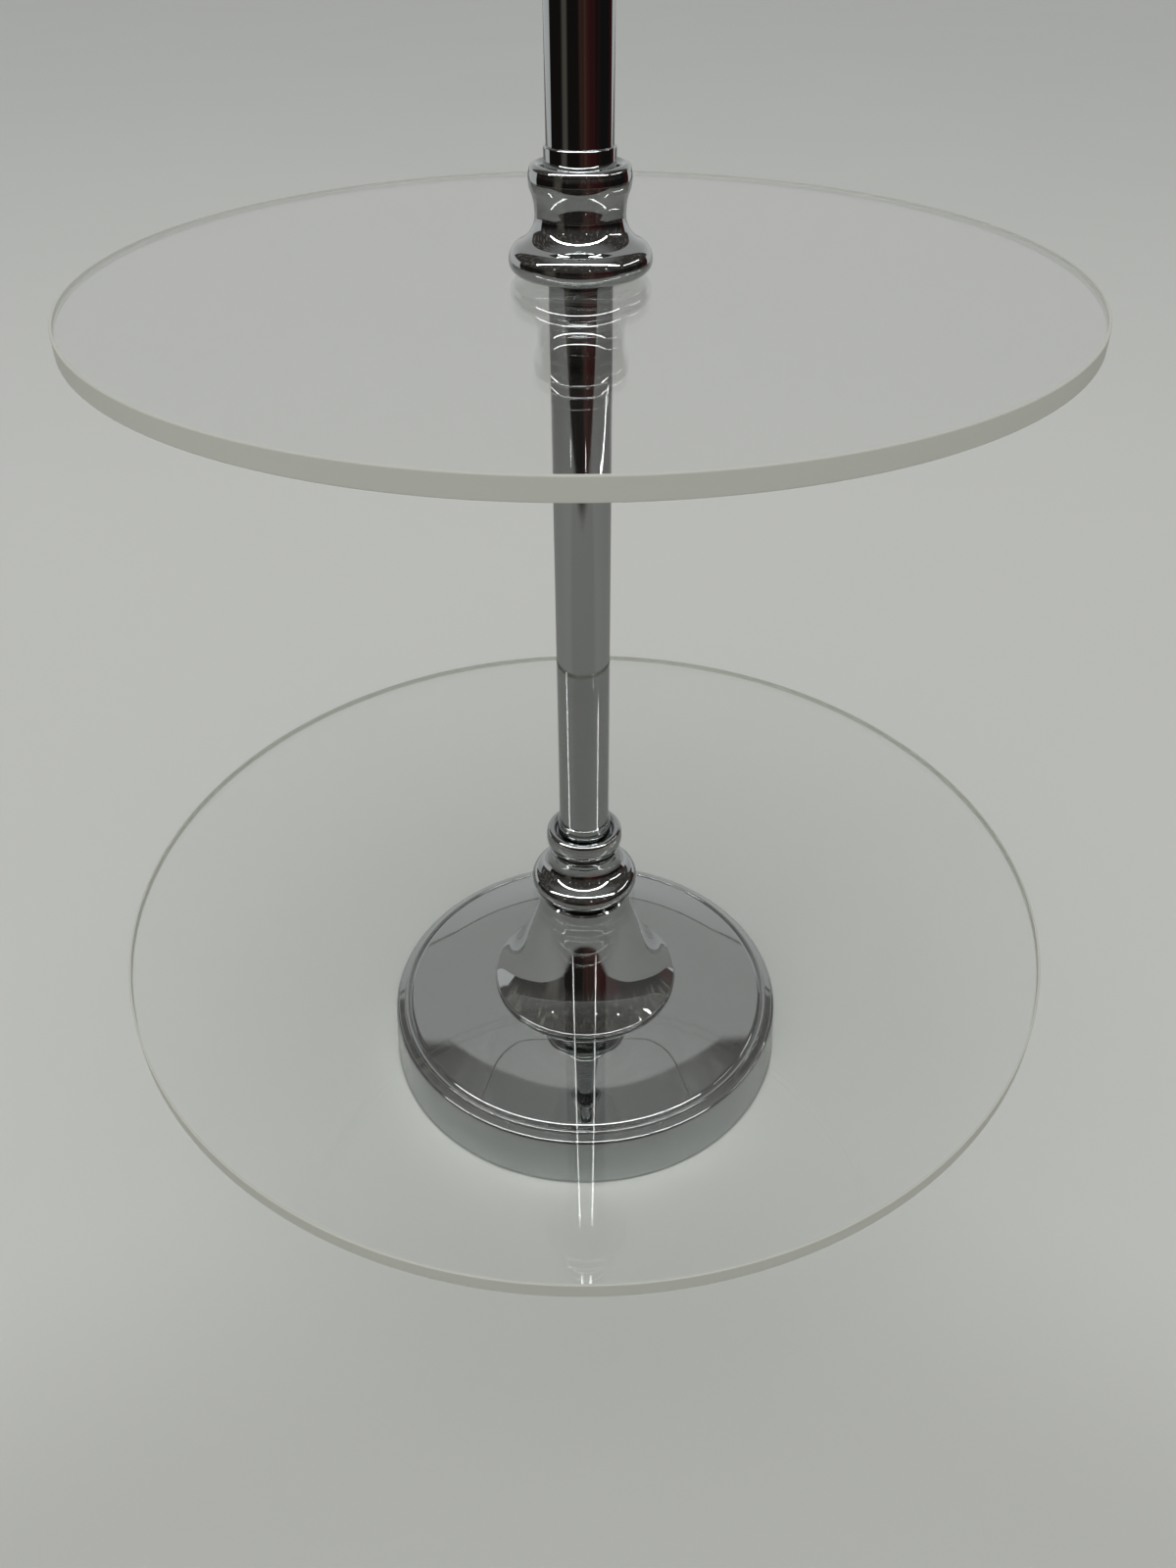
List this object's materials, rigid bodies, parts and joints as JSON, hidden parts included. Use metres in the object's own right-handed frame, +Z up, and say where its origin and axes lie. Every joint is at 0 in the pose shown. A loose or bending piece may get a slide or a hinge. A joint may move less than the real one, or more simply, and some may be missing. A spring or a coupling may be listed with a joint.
{
  "type": "tiered cake stand",
  "caption": "Clear acrylic disc tiers on a chromed tube post with turned collars, a trumpet stem, a weighted round base and a turned finial that clamps the stack.",
  "frame": {"origin": "centre of the foot pad's underside, on the axis of the post", "axes": "+Z up the post; +X and +Y lie in the table's plane and are free, because every tier is round"},
  "size_m": [0.3, 0.3, 0.4365],
  "materials": {
    "chrome": "mirror-polished plating",
    "acrylic": "clear cast sheet with polished edges",
    "clear_washer": "clear soft plastic",
    "zinc_steel": "zinc-plated",
    "cast_iron": "raw casting",
    "foam": "closed-cell foam, matt",
    "nylon": "natural nylon"
  },
  "bodies": {
    "stand": {"base_pad": "foam", "base_shell": "chrome", "base_ballast": "cast_iron", "base_clamp_washer": "zinc_steel", "base_clamp_nut": "zinc_steel", "base_lock_washer": "zinc_steel", "base_lock_nut": "zinc_steel", "bell_stem": "chrome", "lower_rod": "zinc_steel", "rod_coupler": "zinc_steel", "upper_rod": "zinc_steel", "lower_seat_washer": "clear_washer", "lower_clamp_washer": "clear_washer", "lower_collar": "chrome", "lower_ferrule": "chrome", "lower_tube": "chrome", "lower_foot_bush": "nylon", "lower_head_bush": "nylon", "upper_seat_washer": "clear_washer", "upper_clamp_washer": "clear_washer", "upper_collar": "chrome", "upper_ferrule": "chrome", "upper_tube": "chrome", "upper_foot_bush": "nylon", "upper_head_bush": "nylon"},
    "lower_tier": {"lower_disc": "acrylic"},
    "upper_tier": {"upper_disc": "acrylic"},
    "finial_lift": {"finial_washer": "clear_washer"},
    "finial_knob": {"finial": "chrome"}
  },
  "joints": [
    {"name": "lower_tier_turn", "type": "hinge", "parent": "stand", "child": "lower_tier", "pos_m": [0, 0, 0.0711], "axis": [0, 0, 1], "continuous": true},
    {"name": "upper_tier_turn", "type": "hinge", "parent": "stand", "child": "upper_tier", "pos_m": [0, 0, 0.2703], "axis": [0, 0, 1], "continuous": true},
    {"name": "finial_rise", "type": "slide", "parent": "stand", "child": "finial_lift", "axis": [0, 0, 1], "range_m": [0, 0.01]},
    {"name": "finial_turn", "type": "hinge", "parent": "finial_lift", "child": "finial_knob", "pos_m": [0, 0, 0.3906], "axis": [0, 0, 1], "range_deg": [0, 3610]}
  ],
  "couplings": [
    {"joint": "finial_turn", "follows": "finial_rise", "rad_per_m": 6283.2}
  ]
}
